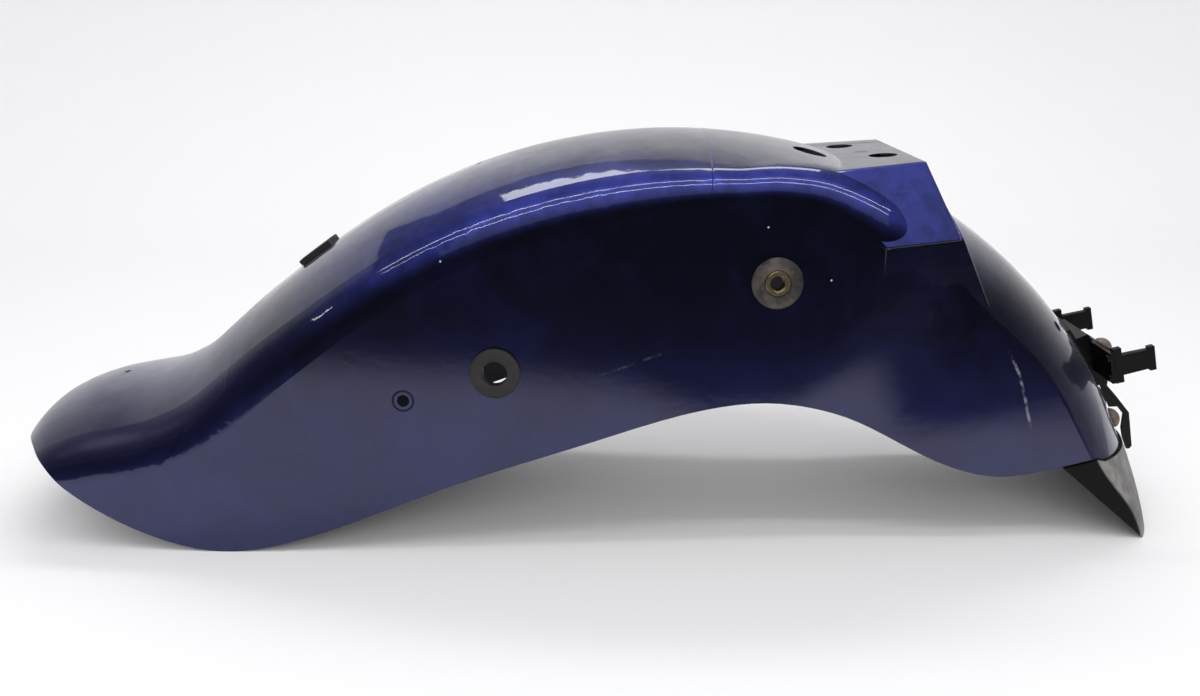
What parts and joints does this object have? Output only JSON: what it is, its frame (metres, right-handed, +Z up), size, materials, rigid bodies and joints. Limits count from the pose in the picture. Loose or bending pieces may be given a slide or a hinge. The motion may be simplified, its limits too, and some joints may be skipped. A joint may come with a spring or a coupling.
{
  "type": "motorcycle rear fender",
  "caption": "Deep valanced sheet-steel rear fender for a motorcycle, with a raised tail-lamp seat, rubber mounting grommets, a plate bracket and a mud flap at the tail.",
  "frame": {"origin": "bottom centre of the bounding box, on the ground the fender rests on", "axes": "+X to the rear of the motorcycle (the tail and mud flap), +Y to its right-hand side, +Z up"},
  "size_m": [0.8998, 0.226, 0.3018],
  "materials": {
    "navy_paint": "metallic gloss with clear coat",
    "rubber": "matt, dusty",
    "passivated_steel": "yellow passivated, dull",
    "flap_plastic": "matt, dusty",
    "bracket_black": "black paint",
    "arm_plastic": "matt black",
    "rusty_steel": "rusty",
    "black_screws": "black paint",
    "zinc_steel": "zinc plated, dull"
  },
  "bodies": {
    "root": {"arm_screws": "black_screws", "bracket_bolts": "zinc_steel", "bracket_nuts": "zinc_steel", "bracket_washers": "zinc_steel", "collar_upper_left": "passivated_steel", "collar_upper_right": "passivated_steel", "fender_shell": "navy_paint", "flap_bolts": "rusty_steel", "flap_clamp_strip": "zinc_steel", "flap_nuts": "zinc_steel", "flap_washers": "zinc_steel", "grommet_lower_left": "rubber", "grommet_lower_right": "rubber", "grommet_upper_left": "rubber", "grommet_upper_right": "rubber", "lamp_arm_left": "arm_plastic", "lamp_arm_right": "arm_plastic", "mud_flap": "flap_plastic", "plate_bracket": "bracket_black", "seat_pad": "rubber", "web_bolt": "rusty_steel", "web_nut": "zinc_steel", "web_washer": "zinc_steel"}
  },
  "joints": []
}
